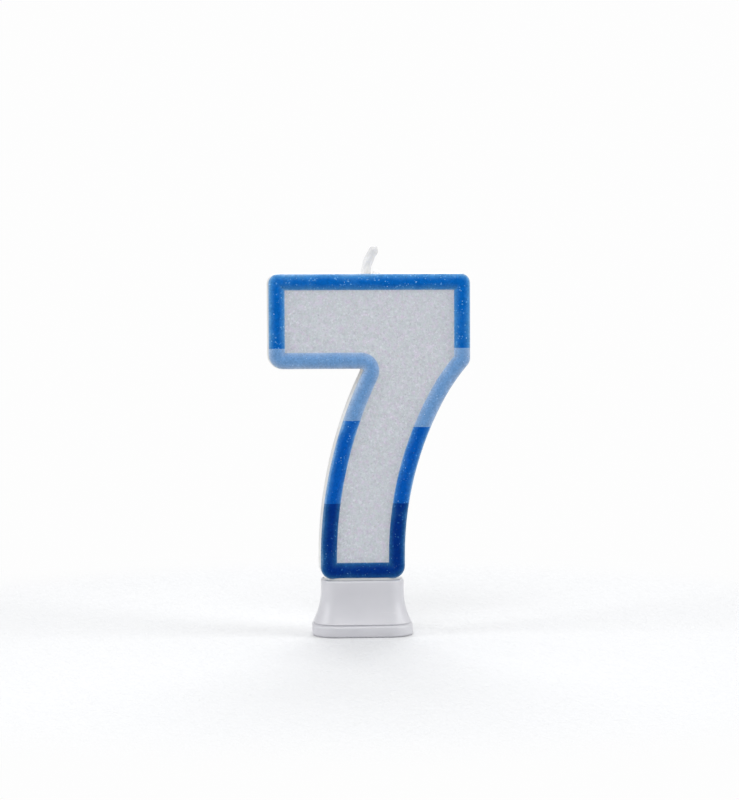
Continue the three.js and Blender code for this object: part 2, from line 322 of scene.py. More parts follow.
def glitterFaceMaterial():
    material, tree, surface = newMaterial("whiteGlitter")
    flakes = useGroup(tree, flakeField, scale=3000.0, tilt=0.45, share=0.08)
    fine = useGroup(tree, flakeField, scale=6400.0, tilt=0.5, share=0.05)
    cast = useGroup(tree, castSurface, wave=180.0, grain=4200.0, grainShare=0.4)
    clouds = useGroup(tree, castSurface, wave=800.0, grain=1700.0, grainShare=0.4)
    pastel = ramp(tree, flakes["tone"], faceFinish["pastels"])
    small = ramp(tree, fine["tone"], faceFinish["fines"])
    speckled = blendColours(tree, faceFinish["fineShare"], pastel, small)
    tint = ramp(tree, clouds["height"], faceFinish["tints"])
    mixed = blendColours(tree, 1.0, speckled, tint, "MULTIPLY")
    sparkling = maths(tree, "MULTIPLY", flakes["bright"], faceFinish["sparkleShare"])
    colour = blendColours(tree, sparkling, mixed, faceFinish["sparkle"])
    tree.links.new(colour, surface.inputs["Base Color"])
    tree.links.new(spread(tree, fine["tone"], *faceFinish["gloss"]), surface.inputs["Roughness"])
    normal = bump(tree, cast["height"], faceFinish["grain"], 0.7, flakes["normal"])
    tree.links.new(normal, surface.inputs["Normal"])
    surface.inputs["Specular IOR Level"].default_value = faceFinish["specular"]
    return material


flakeFinish = {"roughness": 0.28, "specular": 0.5}


def flakeMaterial(name, stops, roughness, specular):
    material, tree, surface = newMaterial(name)
    tone = add(tree, "Attribute", {"attribute_name": "flakeTone"}).outputs["Fac"]
    tree.links.new(ramp(tree, tone, stops), surface.inputs["Base Color"])
    worn = useGroup(tree, castSurface, wave=2600.0, grain=9000.0, grainShare=0.3)
    gloss = spread(tree, worn["mottle"], roughness * 0.7, roughness * 1.3)
    tree.links.new(gloss, surface.inputs["Roughness"])
    surface.inputs["Specular IOR Level"].default_value = specular
    return material


waxFinish = {
    "cast": {"wave": 110.0, "grain": 1500.0, "grainShare": 0.12},
    "rubs": {"length": 50.0, "share": 0.06},
    "clouds": [(0.3, (0.71, 0.715, 0.715)), (0.7, (0.79, 0.79, 0.78))],
    "rubbed": (0.9, 0.9, 0.9),
    "rubShare": 0.5,
    "gloss": (0.36, 0.52),
    "relief": 0.25 * mm,
    "reliefShare": 0.6,
    "inside": 0.35,  # share of the light that goes in
    "reach": (2.2 * mm, 2.0 * mm, 1.8 * mm),
    "specular": 0.4,
}
plasticFinish = {
    "cast": {"wave": 140.0, "grain": 5200.0, "grainShare": 0.3},
    "rubs": {"length": 70.0, "share": 0.04},
    "clouds": [(0.3, (0.56, 0.56, 0.595)), (0.7, (0.59, 0.59, 0.62))],
    "rubbed": (0.68, 0.68, 0.7),
    "rubShare": 0.35,
    "gloss": (0.3, 0.4),
    "relief": 0.04 * mm,
    "reliefShare": 0.5,
    "inside": 0.2,
    "reach": (1.2 * mm, 1.2 * mm, 1.2 * mm),
    "specular": 0.5,
}


# something cast or moulded, a little cloudy and rubbed
def mouldedMaterial(name, look):
    material, tree, surface = newMaterial(name)
    cast = useGroup(tree, castSurface, **look["cast"])
    rubs = useGroup(tree, scuffs, **look["rubs"])
    clouds = ramp(tree, cast["mottle"], look["clouds"])
    rubbed = maths(tree, "MULTIPLY", rubs["mask"], look["rubShare"])
    tree.links.new(blendColours(tree, rubbed, clouds, look["rubbed"]), surface.inputs["Base Color"])
    gloss = spread(tree, cast["mottle"], *look["gloss"], mottleLow, mottleHigh)
    dulled = maths(tree, "ADD", gloss, maths(tree, "MULTIPLY", rubs["mask"], 0.2))
    tree.links.new(dulled, surface.inputs["Roughness"])
    relief = bump(tree, cast["height"], look["relief"], look["reliefShare"])
    tree.links.new(relief, surface.inputs["Normal"])
    letLightIn(surface, look["inside"], look["reach"])
    surface.inputs["Specular IOR Level"].default_value = look["specular"]
    return material


cottonFinish = {
    "fibre": [(0.3, (0.70, 0.70, 0.71)), (0.7, (0.78, 0.78, 0.78))],
    "tipShade": (0.61, 0.61, 0.62),  # painted shade: darker towards the tip, whose upturned end the overhead lamp lights
    "tipShadeShare": 0.8,
    "tipShadeFrom": 2.6 * mm,  # above the bend
    "tipShadeTo": 5.4 * mm,
    "gloss": (0.5, 0.8),
    "relief": 0.06 * mm,
    "inside": 0.3,
    "reach": (0.8 * mm, 0.8 * mm, 0.7 * mm),
}


def wickMaterial():
    look = cottonFinish
    material, tree, surface = newMaterial("waxedCotton")
    cast = useGroup(tree, castSurface, wave=900.0, grain=9000.0, grainShare=0.5)
    fibre = ramp(tree, cast["mottle"], look["fibre"])
    height = add(tree, "SeparateXYZ", None, {0: add(tree, "TexCoord").outputs["Object"]}).outputs["Z"]
    low, high = wickRoot.z + look["tipShadeFrom"], wickRoot.z + look["tipShadeTo"]
    # painted shade: the colour darkens up the free end, so the tip lit from above reads no brighter than the
    # rest
    tipShade = spread(tree, height, 0.0, look["tipShadeShare"], low, high)
    tree.links.new(blendColours(tree, tipShade, fibre, look["tipShade"]), surface.inputs["Base Color"])
    tree.links.new(spread(tree, cast["height"], *look["gloss"], 0.3, 0.9), surface.inputs["Roughness"])
    tree.links.new(bump(tree, cast["height"], look["relief"], 0.8), surface.inputs["Normal"])
    letLightIn(surface, look["inside"], look["reach"])
    return material


gelMaterials = {name: gelMaterial(name + "Gel", look) for name, look in gels.items()}
whiteGlitter = glitterFaceMaterial()
whiteWax = mouldedMaterial("whiteWax", waxFinish)
whitePlastic = mouldedMaterial("whitePlastic", plasticFinish)
waxedCotton = wickMaterial()
whiteFlakes = flakeMaterial(
    "whiteFlakes",
    [
        (0.0, (0.42, 0.44, 0.48)), (0.2, (0.60, 0.52, 0.57)), (0.4, (0.52, 0.60, 0.56)),
        (0.6, (0.56, 0.56, 0.62)), (0.8, (0.60, 0.60, 0.65)), (1.0, (0.68, 0.70, 0.76)),
    ],
    roughness=0.3, specular=0.5,
)
print("materials made:", len(bpy.data.materials))

# mesh helpers


def shadeSmooth(mesh, sharp=35):
    mesh.shade_smooth()
    mesh.set_sharp_from_angle(angle=math.radians(sharp))


def finishMesh(name, bm, material, sharp=35):
    bmesh.ops.recalc_face_normals(bm, faces=bm.faces)
    mesh = bpy.data.meshes.new(name)
    bm.to_mesh(mesh)
    bm.free()
    shadeSmooth(mesh, sharp)
    mesh.materials.append(material)
    piece = bpy.data.objects.new(name, mesh)
    scene.collection.objects.link(piece)
    return piece


def applyModifiers(piece):
    depsgraph = bpy.context.evaluated_depsgraph_get()
    mesh = bpy.data.meshes.new_from_object(piece.evaluated_get(depsgraph))
    piece.modifiers.clear()
    piece.data = mesh


def fuse(piece, other, operation="UNION"):
    join = piece.modifiers.new("fuse", "BOOLEAN")
    join.operation = operation
    join.solver = "EXACT"
    join.object = other
    applyModifiers(piece)
    bpy.data.objects.remove(other)


def ringEdges(bm, verts):
    inside = set(verts)
    return [edge for edge in bm.edges if edge.verts[0] in inside and edge.verts[1] in inside]


def bridgeAll(bm, loops, closed=False):
    pairs = list(zip(loops, loops[1:]))
    if closed:
        pairs.append((loops[-1], loops[0]))
    for a, b in pairs:
        bmesh.ops.bridge_loops(bm, edges=a + b)


# two loops on one level join up twisted, so from the second of them on all are moved away for the join
def bridgeLevel(bm, loops, level, gap):
    moved = list({vert for loop in loops[level:] for edge in loop for vert in edge.verts})
    bmesh.ops.translate(bm, vec=(0, 0, -gap), verts=moved)
    bridgeAll(bm, loops)
    bmesh.ops.translate(bm, vec=(0, 0, gap), verts=moved)


def roundStep(steps):
    return [quarter * step / steps for step in range(steps + 1)]


# the numeral's outline

numeral = {
    "left": rimLow.x,
    "right": rimHigh.x,
    "top": rimHigh.z,
    "foot": footLow.z,
    "armHeight": 18.6 * mm,
    "footHalf": 8.3 * mm,
    "leftRadius": 86 * mm,
    "rightRadius": 64.5 * mm,
    "rightTurn": math.radians(28),
    "shoulderRadius": 40 * mm,
    "cornerRise": 3.4 * mm,  # from the foot to the face's lower corners
    "leftStraight": 0.2 * mm,
    "rightStraight": 1.1 * mm,
    "hollow": 0.4 * mm,  # rounding of the inner corner under the arm
    "fillets": {
        "shoulder": 2.4 * mm, "top": 1.8 * mm, "arm": 2.8 * mm, "footLeft": 2.2 * mm, "footRight": 2.5 * mm,
    },
    "leastFillet": 0.12 * mm,
    "steps": {"right": 14, "shoulder": 8, "hollow": 10, "left": 18},  # of its long curves
}
corner = numeral["foot"] + numeral["cornerRise"]
leftCentre = Vector((numeral["leftRadius"] - numeral["footHalf"], 0, corner + numeral["leftStraight"]))
rightCentre = Vector((numeral["rightRadius"] + numeral["footHalf"], 0, corner + numeral["rightStraight"]))
upStem = Vector((-math.cos(numeral["rightTurn"]), 0, math.sin(numeral["rightTurn"])))
shoulderCentre = rightCentre + upStem * (numeral["rightRadius"] - numeral["shoulderRadius"])
armUnder = numeral["top"] - numeral["armHeight"]


def lineTo(bm, tip, x, z):
    tip = bmesh.ops.extrude_vert_indiv(bm, verts=[tip])["verts"][0]
    tip.co.x, tip.co.z = x, z
    return tip


# turns the pen anticlockwise, seen from the front, round a centre
def arcTo(bm, tip, x, z, angle, steps=6):
    grown = bmesh.ops.spin(
        bm, geom=[tip], cent=(x, tip.co.y, z), axis=(0, -1, 0), dvec=(0, 0, 0), angle=angle, steps=steps,
    )
    return next(item for item in grown["geom_last"] if isinstance(item, bmesh.types.BMVert))


# the numeral's outline as a loop of edges, every edge moved inwards by inset
def numeralLoop(bm, inset, y, depth=0.0):
    before = set(bm.verts)
    layer = bm.verts.layers.float.get("gelDepthAndEdgeLight") or bm.verts.layers.float.new("gelDepthAndEdgeLight")
    least, steps = numeral["leastFillet"], numeral["steps"]
    fillet = {name: max(radius - inset, least) for name, radius in numeral["fillets"].items()}
    left, right = numeral["left"] + inset, numeral["right"] - inset
    high, low, under = numeral["top"] - inset, numeral["foot"] + inset, armUnder + inset
    stemLeft, stemRight = inset - numeral["footHalf"], numeral["footHalf"] - inset

    start = bmesh.ops.create_vert(bm, co=(stemLeft + fillet["footLeft"], y, low))["vert"][0]
    tip = lineTo(bm, start, stemRight - fillet["footRight"], low)
    tip = arcTo(bm, tip, stemRight - fillet["footRight"], low + fillet["footRight"], quarter)
    tip = lineTo(bm, tip, stemRight, rightCentre.z)
    tip = arcTo(bm, tip, rightCentre.x, rightCentre.z, -numeral["rightTurn"], steps["right"])

    upper = numeral["shoulderRadius"] + inset
    aside = right - fillet["shoulder"] - shoulderCentre.x
    rise = math.sqrt((upper + fillet["shoulder"]) ** 2 - aside**2)
    end = math.atan2(rise, aside)
    turn = end - (math.pi - numeral["rightTurn"])
    tip = arcTo(bm, tip, shoulderCentre.x, shoulderCentre.z, turn, steps["shoulder"])
    tip = arcTo(bm, tip, right - fillet["shoulder"], shoulderCentre.z + rise, math.pi - end)

    tip = lineTo(bm, tip, right, high - fillet["top"])
    tip = arcTo(bm, tip, right - fillet["top"], high - fillet["top"], quarter)
    tip = lineTo(bm, tip, left + fillet["top"], high)
    tip = arcTo(bm, tip, left + fillet["top"], high - fillet["top"], quarter)
    tip = lineTo(bm, tip, left, under + fillet["arm"])
    tip = arcTo(bm, tip, left + fillet["arm"], under + fillet["arm"], quarter)

    hollow = numeral["hollow"]
    hollowZ = armUnder - hollow
    hollowX = leftCentre.x - math.sqrt((numeral["leftRadius"] + hollow) ** 2 - (hollowZ - leftCentre.z) ** 2)
    facing = math.atan2(leftCentre.z - hollowZ, leftCentre.x - hollowX)
    tip = lineTo(bm, tip, hollowX, under)
    tip = arcTo(bm, tip, hollowX, hollowZ, facing - quarter, steps["hollow"])
    tip = arcTo(bm, tip, leftCentre.x, leftCentre.z, -facing, steps["left"])
    tip = lineTo(bm, tip, stemLeft, low + fillet["footLeft"])
    tip = arcTo(bm, tip, stemLeft + fillet["footLeft"], low + fillet["footLeft"], quarter)
    bmesh.ops.pointmerge(bm, verts=[start, tip], merge_co=start.co)

    verts = [vert for vert in bm.verts if vert not in before]
    for vert in verts:
        vert[layer] = depth
    return ringEdges(bm, verts)


# the border: one bead of gel round the outline, cut into its colours

border = {
    "width": 3.0 * mm,
    "overlap": 0.35 * mm,  # its feather edge lies on the face
    "dome": 1.15 * mm,  # height of the rounded top
    "outerFullness": 2.5,  # 2 is an ellipse, higher is squarer
    "innerFall": 1.1,  # 1 is a plain sine, higher is flatter where it meets the face
    "gelSpread": 0.85,  # how soon its colour deepens from either edge
    "outerGel": 0.14,  # depth of colour left on the outer flank
    "steps": 16,
    "seam": 0.02 * mm,  # rounding where two colours meet
    "bond": 0.15 * mm,  # what the CAD leaves between two colours
    "ownEnd": 1 * mm,  # a band that comes this near the numeral's top or foot isn't cut there
    "outerGelLow": 0.2,  # depth of colour where the bead leaves the wax
}
bands = {
    "bead_top_blue": {"node": "rim_top_blue", "gel": "royalBlue", "slot": "royal_blue_glitter"},
    "bead_sky_left": {
        "node": "rim_sky_left", "gel": "skyBlue", "slot": "sky_blue_glitter", "side": -1, "split": 7 * mm,
    },
    "bead_sky_right": {
        "node": "rim_sky_right", "gel": "skyBlue", "slot": "sky_blue_glitter", "side": 1, "split": 7 * mm,
    },
    "bead_mid_left": {
        "node": "rim_mid_left", "gel": "midBlue", "slot": "mid_blue_glitter", "side": -1, "split": 3 * mm,
    },
    "bead_mid_right": {
        "node": "rim_mid_right", "gel": "midBlue", "slot": "mid_blue_glitter", "side": 1, "split": 3 * mm,
    },
    "bead_navy_foot": {"node": "rim_navy_foot", "gel": "navy", "slot": "navy_glitter"},
}


# height of the bead, 0 to 1, at a place from -1, its outer edge, to 1, its inner edge
def beadHeight(place):
    if place < 0:
        power = border["outerFullness"]
        return (1 - min(1, -place) ** power) ** (1 / power)
    return max(0.0, math.cos(quarter * place)) ** border["innerFall"]


def beadRing():
    bm = bmesh.new()
    half = (border["width"] + border["overlap"]) / 2
    shoulder = rimLow.y + border["dome"]
    loops = [numeralLoop(bm, 0.0, rimHigh.y, border["outerGelLow"])]
    for step in range(border["steps"] + 1):
        place = -math.cos(math.pi * step / border["steps"])
        gel = max(0.0, math.cos(quarter * place)) ** border["gelSpread"]
        gel = max(gel, border["outerGel"]) if place < 0 else gel
        loops.append(numeralLoop(bm, half * (1 + place), shoulder - border["dome"] * beadHeight(place), gel))
    # the inner edge lies thin on white wax and gets the palest colour, which also paints out the shade where
    # the bead meets the face
    loops.append(numeralLoop(bm, 2 * half, rimHigh.y, 0.0))
    bridgeAll(bm, loops, closed=True)
    bmesh.ops.recalc_face_normals(bm, faces=bm.faces)
    return bm


def cutAway(bm, point, normal):
    everything = bm.verts[:] + bm.edges[:] + bm.faces[:]
    bmesh.ops.bisect_plane(bm, geom=everything, plane_co=point, plane_no=normal, clear_outer=True)
    rim = [edge for edge in bm.edges if edge.is_boundary]
    made = bmesh.ops.holes_fill(bm, edges=rim, sides=0)["faces"]
    return [edge for face in made for edge in face.edges]


def beadBand(name, look):
    low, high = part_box(look["node"])
    bm = wholeRing.copy()
    if "side" in look:
        cutAway(bm, (look["split"], 0, 0), (-look["side"], 0, 0))
    caps = []
    if high.z < numeral["top"] - border["ownEnd"]:
        caps += cutAway(bm, (0, 0, high.z + border["bond"] / 2), (0, 0, 1))
    if low.z > numeral["foot"] + border["ownEnd"]:
        caps += cutAway(bm, (0, 0, low.z - border["bond"] / 2), (0, 0, -1))
    caps = [edge for edge in set(caps) if edge.is_valid]
    bmesh.ops.bevel(
        bm, geom=caps, offset=border["seam"], affect="EDGES", segments=2, profile=0.5, material=-1,
        clamp_overlap=True,
    )
    piece = finishMesh(name, bm, gelMaterials[look["gel"]], sharp=40)
    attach(piece, "candle")
    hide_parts(look["node"])
    return piece


wholeRing = beadRing()
beads = {name: beadBand(name, look) for name, look in bands.items()}
wholeRing.free()
print("border beads made:", len(beads))

# the glitter face

panel = {"under": 0.15 * mm}  # how far its edge runs under the bead


def makeFace():
    bm = bmesh.new()
    inset = border["width"] - panel["under"]
    loops = [numeralLoop(bm, inset, faceHigh.y), numeralLoop(bm, inset, faceLow.y)]
    bridgeAll(bm, loops)
    bmesh.ops.edgeloop_fill(bm, edges=loops[0])
    bmesh.ops.edgeloop_fill(bm, edges=loops[-1])
    piece = finishMesh("glitter_panel", bm, whiteGlitter, sharp=50)
    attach(piece, "candle")
    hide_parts("glitter_face")
    return piece


facePanel = makeFace()
print("face made")

# sizes that the casting and the holder share

cup = {
    "half": Vector((8.15, 4.8)) * mm,
    "fillet": 3.4 * mm,
    "lipRound": 0.35 * mm,
    "flareRadius": 14.4 * mm,
    "flareHeight": 6.4 * mm,
    "flareSteps": 12,
    "flangeStep": 0.3 * mm,
    "flangeHeight": 2.3 * mm,
    "flangeRound": 0.5 * mm,
    "groove": Vector((0.16, 0.22)) * mm,  # fine step where the flare meets the flange
    "grooveLift": 1.3,  # of the flare's foot, as a share of the groove's height
    "mouthRound": 0.3 * mm,
    "socketHalf": Vector((6.5, 2.8)) * mm,
    "socketFillet": 1.7 * mm,
    "socketFloor": 4.05 * mm,
    "socketDraft": 0.05 * mm,
    "floorRound": 0.4 * mm,
    "floorFillet": 1.4 * mm,
    "height": 11.0 * mm,
}

# the wax casting

casting = {
    "draft": 0.25 * mm,
    "backRound": 0.6 * mm,
    "lipWidth": 0.9 * mm,  # raised edge round the back, where the wax climbed the mould
    "sunk": [(-0.4 * mm, 0.01 * mm), (0.3 * mm, 0.168 * mm), (1.4 * mm, 0.28 * mm)],  # past the lip, how deep
    "tenonHalf": Vector((6.2, 2.5)) * mm,
    "tenonFillet": 1.4 * mm,
    "tenonRound": 0.5 * mm,
    "tenonRoot": 1.2 * mm,  # how far it reaches up into the numeral
    "seatHalf": Vector((7.5, 4.1)) * mm,  # shoulder that closes the gap between the foot and the holder's lip
    "seatFillet": 3 * mm,
    "seatClear": 0.04 * mm,
}


# a rounded rectangle as a loop of edges at one height
def oblongLoop(bm, halfX, halfY, radius, z, segments=36):
    step = math.pi / segments
    made = bmesh.ops.create_circle(
        bm, segments=segments, radius=radius / math.cos(step),
        matrix=Matrix.Translation((0, 0, z)) @ Matrix.Rotation(step, 4, "Z"),
    )["verts"]
    for vert in made:
        vert.co.x += math.copysign(halfX - radius, vert.co.x)
        vert.co.y += math.copysign(halfY - radius, vert.co.y)
    return ringEdges(bm, made)


def makeTenon():
    half, radius, soft = casting["tenonHalf"], casting["tenonFillet"], casting["tenonRound"]
    low, high = waxLow.z, numeral["foot"] + casting["tenonRoot"]
    bm = bmesh.new()
    seat, lip = casting["seatHalf"], cup["height"] + casting["seatClear"]
    loops = [
        oblongLoop(bm, seat.x, seat.y, casting["seatFillet"], high),
        oblongLoop(bm, seat.x, seat.y, casting["seatFillet"], lip),
        oblongLoop(bm, half.x, half.y, radius, lip),
    ]
    for angle in roundStep(4):
        inward, up = soft * (1 - math.cos(angle)), soft * (1 - math.sin(angle))
        loops.append(oblongLoop(bm, half.x - inward, half.y - inward, radius - inward, low + up))
    bridgeLevel(bm, loops, 2, cup["height"])
    bmesh.ops.edgeloop_fill(bm, edges=loops[0])
    bmesh.ops.edgeloop_fill(bm, edges=loops[-1])
    return finishMesh("tenon", bm, whiteWax)


def makeCasting():
    bm = bmesh.new()
    soft, draft = casting["backRound"], casting["draft"]
    back = waxHigh.y
    loops = [numeralLoop(bm, 0.0, rimHigh.y)]
    for angle in roundStep(5):
        inward, forward = soft * (1 - math.cos(angle)), soft * (1 - math.sin(angle))
        loops.append(numeralLoop(bm, inward - draft, back - forward))
    lip = soft - draft + casting["lipWidth"]
    for inward, deep in casting["sunk"]:
        loops.append(numeralLoop(bm, lip + inward, back - deep))
    bridgeAll(bm, loops)
    bmesh.ops.edgeloop_fill(bm, edges=loops[0])
    bmesh.ops.edgeloop_fill(bm, edges=loops[-1])
    piece = finishMesh("wax_casting", bm, whiteWax)
    fuse(piece, makeTenon())
    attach(piece, "candle")
    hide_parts("wax_body")
    return piece


waxCasting = makeCasting()
print("wax casting made:", len(waxCasting.data.polygons), "faces")

# the holder

spike = {
    "wide": 3.5 * mm,
    "deep": 2.3 * mm,
    "blade": 1.5 * mm,
    "tip": 1.2 * mm,
    "point": 0.15 * mm,
    "root": 1.0 * mm,
    "soft": 0.2 * mm,
}


# the holder's outer side from its underside up: how far out from the lip, and how high
def cupRows():
    sweep, flare = math.asin(cup["flareHeight"] / cup["flareRadius"]), cup["flareRadius"]
    flareFoot = flare * (1 - math.cos(sweep))
    flangeTop = cup["flangeHeight"]
    flareTop = flangeTop + cup["flareHeight"]
    edge, soft = flareFoot + cup["flangeStep"], cup["flangeRound"]
    groove, lip = cup["groove"], cup["lipRound"]
    rows = []
    for angle in roundStep(4):
        rows.append((edge - soft * (1 - math.sin(angle)), soft * (1 - math.cos(angle))))
    for angle in roundStep(4):
        rows.append((edge - soft * (1 - math.cos(angle)), flangeTop - soft * (1 - math.sin(angle))))
    rows.append((flareFoot - groove.x, flangeTop + groove.y))
    for step in range(cup["flareSteps"] + 1):
        left = 1 - step / cup["flareSteps"]
        angle, lift = sweep * left, groove.y * left * cup["grooveLift"]
        rows.append((flare * (1 - math.cos(angle)), flareTop - flare * math.sin(angle) + lift))
    for angle in roundStep(4):
        rows.append((-lip * (1 - math.cos(angle)), cup["height"] - lip * (1 - math.sin(angle))))
    return rows


def makeCup():
    bm = bmesh.new()
    half, radius = cup["half"], cup["fillet"]
    loops = [oblongLoop(bm, half.x + grow, half.y + grow, radius + grow, z) for grow, z in cupRows()]
    mouth = len(loops)
    inner, innerRadius, lip = cup["socketHalf"], cup["socketFillet"], cup["mouthRound"]
    for angle in roundStep(4):
        out, down = lip * (1 - math.sin(angle)), lip * (1 - math.cos(angle))
        loops.append(oblongLoop(bm, inner.x + out, inner.y + out, innerRadius + out, cup["height"] - down))
    floor, draft, soft = cup["socketFloor"], cup["socketDraft"], cup["floorRound"]
    loops.append(oblongLoop(bm, inner.x - draft, inner.y - draft, innerRadius, floor + soft))
    loops.append(oblongLoop(bm, inner.x - soft, inner.y - soft, cup["floorFillet"], floor))
    bridgeLevel(bm, loops, mouth, cup["height"])
    bmesh.ops.edgeloop_fill(bm, edges=loops[0])
    bmesh.ops.edgeloop_fill(bm, edges=loops[-1])
    piece = finishMesh("pick_holder", bm, whitePlastic)
    fuse(piece, makeBlade(spike["wide"], 0))
    fuse(piece, makeBlade(spike["deep"], quarter))
    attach(piece, "holder")
    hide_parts("holder")
    return piece


# one blade of the spike's cross, tapering to a point
def makeBlade(half, turn):
    bm = bmesh.new()
    bmesh.ops.create_grid(
        bm, x_segments=1, y_segments=1, size=1, matrix=Matrix.Translation((0, 0, spike["root"])),
    )
    bmesh.ops.scale(bm, vec=(half, spike["blade"] / 2, 1), verts=bm.verts)
    face = bm.faces[:][0]
    ends = ((0.0, half), (holderLow.z + spike["tip"], spike["tip"] / 2), (holderLow.z, spike["point"]))
    for z, reach in ends:
        grown = bmesh.ops.extrude_face_region(bm, geom=[face])["geom"]
        face = next(item for item in grown if isinstance(item, bmesh.types.BMFace))
        for vert in face.verts:
            vert.co.x, vert.co.z = math.copysign(reach, vert.co.x), z
    bmesh.ops.recalc_face_normals(bm, faces=bm.faces)
    below = [edge for edge in bm.edges if min(vert.co.z for vert in edge.verts) < 0]
    bmesh.ops.bevel(
        bm, geom=below, offset=spike["soft"], affect="EDGES", segments=2, profile=0.5, material=-1,
        clamp_overlap=True,
    )
    bmesh.ops.rotate(bm, cent=(0, 0, 0), matrix=Matrix.Rotation(turn, 3, "Z"), verts=bm.verts)
    return finishMesh("blade", bm, whitePlastic)


pickHolder = makeCup()
print("holder made:", len(pickHolder.data.polygons), "faces")

# the wick: one length of twisted cotton, from inside the wax to its free end

wick = {
    "radius": 1.0 * mm,
    "rise": 5.7 * mm,  # of the tip above the bend
    "lean": 2.1 * mm,
    "upright": 0.42,  # share of the rise that its lower curve handle goes straight up
    "turn": Vector((0.5, 0.75)),  # its upper handle, as shares of the lean and the rise
    "sides": 24,
    "lobes": 4,  # strands
    "lobeDepth": 0.045,
    "twist": 0.62,  # radians a millimetre
    "straight": 3 * mm,
    "turned": 4 * mm,  # under the arm by here it is in the middle of the stem
    "endRise": 6 * mm,
    "stemHandle": 14 * mm,
    "armHandle": 0.45,  # share of the height between the stem's middle and the straight
    "steps": {"stem": 40, "arm": 24, "straight": 8, "free": 34},
    "endRound": 0.07,  # share of the length that is rounded off at the tip
    "endFlat": 0.25,  # radius left at the very end
}


def stemMiddle(z):
    left = leftCentre.x - math.sqrt(numeral["leftRadius"] ** 2 - (z - leftCentre.z) ** 2)
    right = rightCentre.x - math.sqrt(numeral["rightRadius"] ** 2 - (z - rightCentre.z) ** 2)
    return (left + right) / 2


def wickRoute():
    rise, lean = wick["rise"], wick["lean"]
    tip = wickRoot + Vector((lean, 0, rise))
    low, turned = numeral["foot"] + wick["endRise"], armUnder - wick["turned"]
    bottom = Vector((stemMiddle(low), wickRoot.y, low))
    middle = Vector((stemMiddle(turned), wickRoot.y, turned))
    along = Vector((stemMiddle(turned) - stemMiddle(turned - mm), 0, mm)).normalized()
    straight = wickRoot - Vector((0, 0, wick["straight"]))
    steps, handle = wick["steps"], wick["stemHandle"]
    first, second = bottom + Vector((0, 0, handle)), middle - along * handle
    points = interpolate_bezier(bottom, first, second, middle, steps["stem"])
    reach = (straight.z - middle.z) * wick["armHandle"]
    first, second = middle + along * reach, straight - Vector((0, 0, reach))
    points += interpolate_bezier(middle, first, second, straight, steps["arm"])[1:]
    points += [straight.lerp(wickRoot, step / steps["straight"]) for step in range(1, steps["straight"] + 1)]
    first = wickRoot + Vector((0, 0, rise * wick["upright"]))
    second = wickRoot + Vector((lean * wick["turn"].x, 0, rise * wick["turn"].y))
    points += interpolate_bezier(wickRoot, first, second, tip, steps["free"])[1:]
    return points


# a tube along points; shape(share, angle) gives its radius as a share of the nominal one
def tube(name, points, radius, material, sides=24, shape=None, twist=0.0):
    bm = bmesh.new()
    loops, run = [], 0.0
    for index, point in enumerate(points):
        before, after = points[max(index - 1, 0)], points[min(index + 1, len(points) - 1)]
        run += (point - before).length if index else 0.0
        turn = (after - before).to_track_quat("Z", "Y").to_matrix().to_4x4()
        spin = Matrix.Rotation(twist * run / mm, 4, "Z")
        made = bmesh.ops.create_circle(bm, segments=sides, radius=radius)["verts"]
        for vert in made:
            if shape:
                vert.co.xy *= shape(index / (len(points) - 1), math.atan2(vert.co.y, vert.co.x))
        bmesh.ops.transform(bm, matrix=Matrix.Translation(point) @ turn @ spin, verts=made)
        loops.append(ringEdges(bm, made))
    bridgeAll(bm, loops)
    bmesh.ops.edgeloop_fill(bm, edges=loops[0])
    bmesh.ops.edgeloop_fill(bm, edges=loops[-1])
    return finishMesh(name, bm, material, sharp=60)


def makeWick():
    def strands(share, angle):
        strand = 1 + wick["lobeDepth"] * (math.cos(wick["lobes"] * angle) - 1)
        past = min(1.0, max(0.0, share - 1 + wick["endRound"]) / wick["endRound"])
        return strand * max(wick["endFlat"], math.sqrt(1 - past**2))

    piece = tube("wick", wickRoute(), wick["radius"], waxedCotton, wick["sides"], strands, wick["twist"])
    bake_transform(piece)
    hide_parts("wick_core", "wick_tip")
    return piece


makeWick()
print("wick made")

# the wick's channel and the melt pool round it, cut out of the casting

pool = {
    "radius": 2.2 * mm,
    "depth": 1.0 * mm,
    "clear": 0.04 * mm,  # round the wick in its channel
    "channelEnd": 1 * mm,  # above the wick's bend
    "root": 1.1,  # where the bowl starts to rise, in the wick's radii
    "curve": 1.6,
    "steps": 6,
    "sides": 32,
    "past": Vector((0.35, 0.3)) * mm,  # how far the cutter stands out of the wax
}
lobe = {
    "across": 0.95 * mm,
    "deep": 1.25,  # share of its width
    "high": 0.7 * mm,
    "aside": 2.15 * mm,
    "lump": 0.10,
}


# a low lobe of set wax on the edge of the pool, on the wick's right
def addLobe():
    bm = bmesh.new()
    made = bmesh.ops.create_icosphere(bm, subdivisions=4, radius=1)["verts"]
    for vert in made:
        vert.co *= 1 + lobe["lump"] * math.sin(2.2 * vert.co.x + 1.1) * math.cos(1.7 * vert.co.y)
    bmesh.ops.scale(bm, vec=(lobe["across"], lobe["across"] * lobe["deep"], lobe["high"]), verts=made)
    bmesh.ops.translate(bm, vec=(wickRoot.x + lobe["aside"], wickRoot.y, numeral["top"]), verts=made)
    fuse(waxCasting, finishMesh("lobe", bm, whiteWax))


def makeChannel():
    points = [point for point in wickRoute() if point.z < wickRoot.z + pool["channelEnd"]]
    return tube("channel", points, wick["radius"] + pool["clear"], whiteWax)


